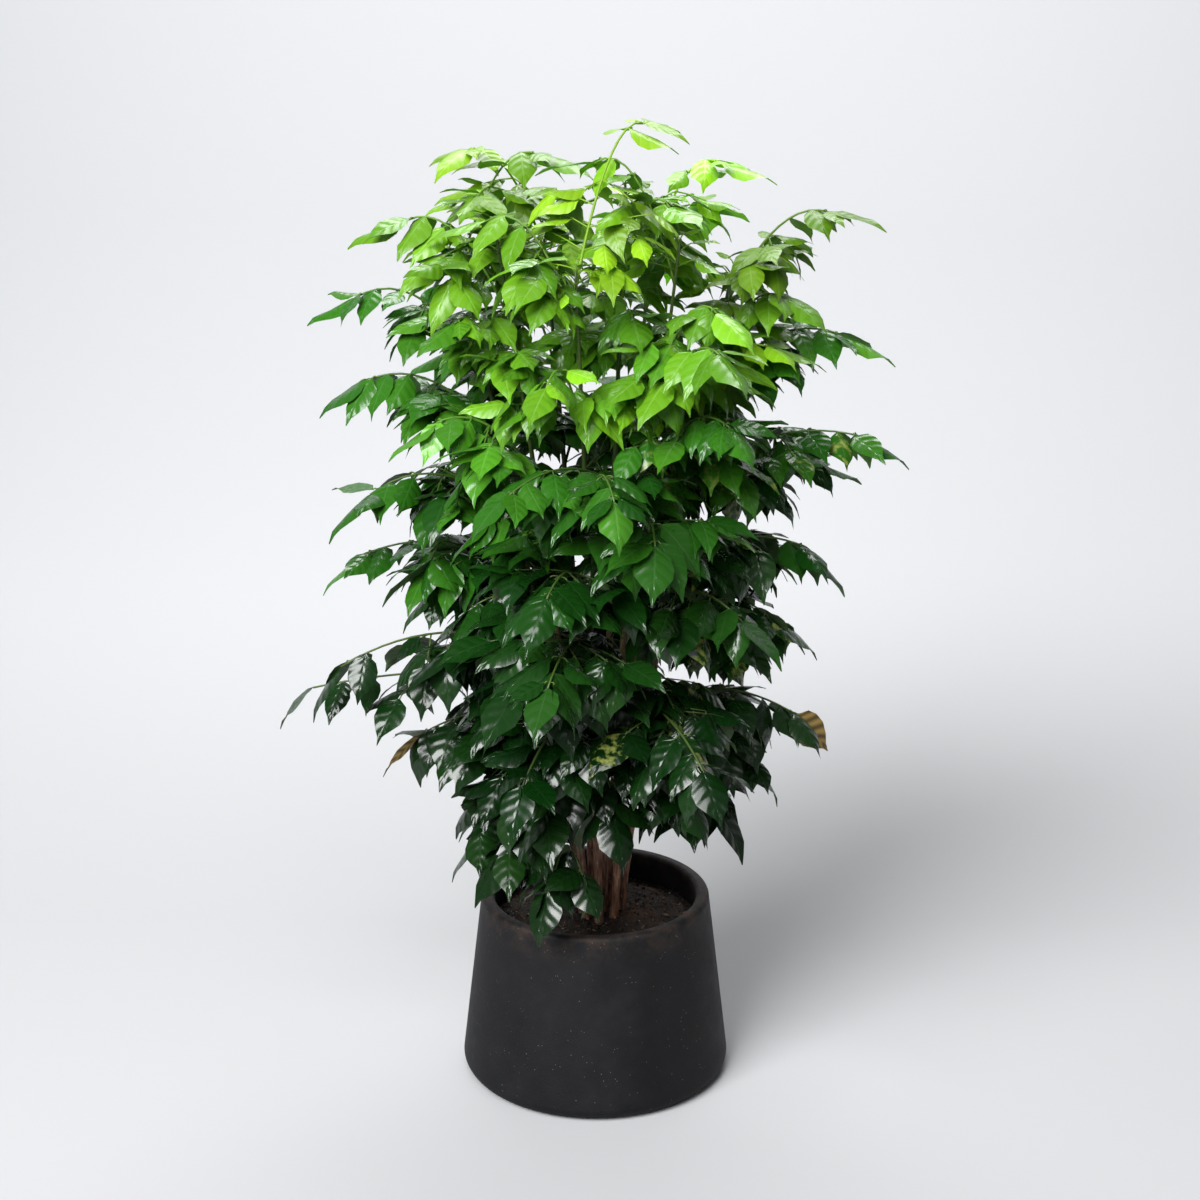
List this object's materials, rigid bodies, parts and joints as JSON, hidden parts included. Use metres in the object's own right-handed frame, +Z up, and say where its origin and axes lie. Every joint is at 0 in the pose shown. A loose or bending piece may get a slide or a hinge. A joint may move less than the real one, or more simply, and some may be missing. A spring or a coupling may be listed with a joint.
{
  "type": "potted china doll plant",
  "caption": "Bushy china doll plant with woody stems and glossy, twice-divided leaves, in a tapered dark fibre-clay pot that stands on the floor.",
  "frame": {"origin": "middle of the pot's flat underside, on the pot's axis, at floor level", "axes": "+Z up along the pot's axis; -Y towards the side that is seen from the front; +X to the right"},
  "size_m": [0.7157, 0.6037, 1.1227],
  "materials": {
    "pot": "matte",
    "soil": "matte",
    "bark": "matte",
    "young_leaf": "satin",
    "leaf": "gloss",
    "old_leaf": "gloss"
  },
  "bodies": {
    "root": {"pot": "pot", "soil": "soil", "stem_1": "bark", "stem_2": "bark", "stem_3": "bark", "stem_4": "bark", "stem_5": "bark", "stem_6": "bark", "stem_7": "bark", "stem_8": "bark", "shoot_1": "young_leaf", "shoot_2": "young_leaf", "shoot_3": "young_leaf", "shoot_4": "young_leaf", "shoot_5": "young_leaf", "shoot_6": "young_leaf", "shoot_7": "young_leaf", "shoot_8": "young_leaf", "frond_01": "old_leaf", "frond_02": "old_leaf", "frond_03": "old_leaf", "frond_04": "old_leaf", "frond_05": "old_leaf", "frond_06": "old_leaf", "frond_07": "old_leaf", "frond_08": "old_leaf", "frond_09": "old_leaf", "frond_10": "old_leaf", "frond_11": "old_leaf", "frond_12": "old_leaf", "frond_13": "old_leaf", "frond_14": "old_leaf", "frond_15": "old_leaf", "frond_16": "old_leaf", "frond_17": "old_leaf", "frond_18": "old_leaf", "frond_19": "old_leaf", "frond_20": "old_leaf", "frond_21": "old_leaf", "frond_22": "old_leaf", "frond_23": "old_leaf", "frond_24": "old_leaf", "frond_25": "old_leaf", "frond_26": "old_leaf", "frond_27": "old_leaf", "frond_28": "old_leaf", "frond_29": "old_leaf", "frond_30": "old_leaf", "frond_31": "old_leaf", "frond_32": "old_leaf", "frond_33": "old_leaf"}
  },
  "joints": []
}
